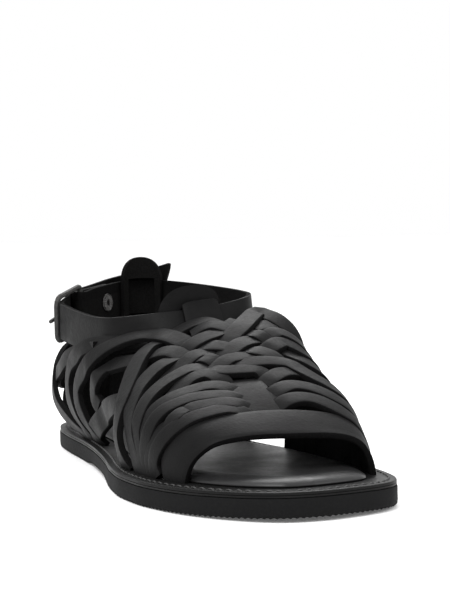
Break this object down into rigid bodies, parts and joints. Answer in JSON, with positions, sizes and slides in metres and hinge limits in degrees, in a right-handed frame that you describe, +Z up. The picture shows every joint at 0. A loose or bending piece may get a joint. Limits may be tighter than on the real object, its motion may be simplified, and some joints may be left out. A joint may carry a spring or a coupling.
{
  "type": "sandal",
  "caption": "Flat right-foot huarache sandal with a close diagonally woven leather upper, open toe and sides, a strapped heel and a buckled ankle strap.",
  "frame": {"origin": "on the floor under the middle of the sole's outline", "axes": "+Z up, toe towards -Y, medial (inner) side of this right shoe towards +X"},
  "size_m": [0.1022, 0.2974, 0.0974],
  "materials": {
    "rubber_sole": "matte black rubber",
    "leather_midsole": "edge-dyed black leather",
    "leather_footbed": "smooth satin black leather",
    "leather_upper": "satin black leather with raw cut edges",
    "steel": "dull nickel"
  },
  "bodies": {
    "root": {"outsole": "rubber_sole", "midsole": "leather_midsole", "insole": "leather_footbed", "upper": "leather_upper", "tongue": "leather_upper", "heel_tab": "leather_upper", "ankle_strap": "leather_upper", "buckle_frame": "steel", "buckle_prong": "steel", "rivet": "steel"}
  },
  "joints": []
}
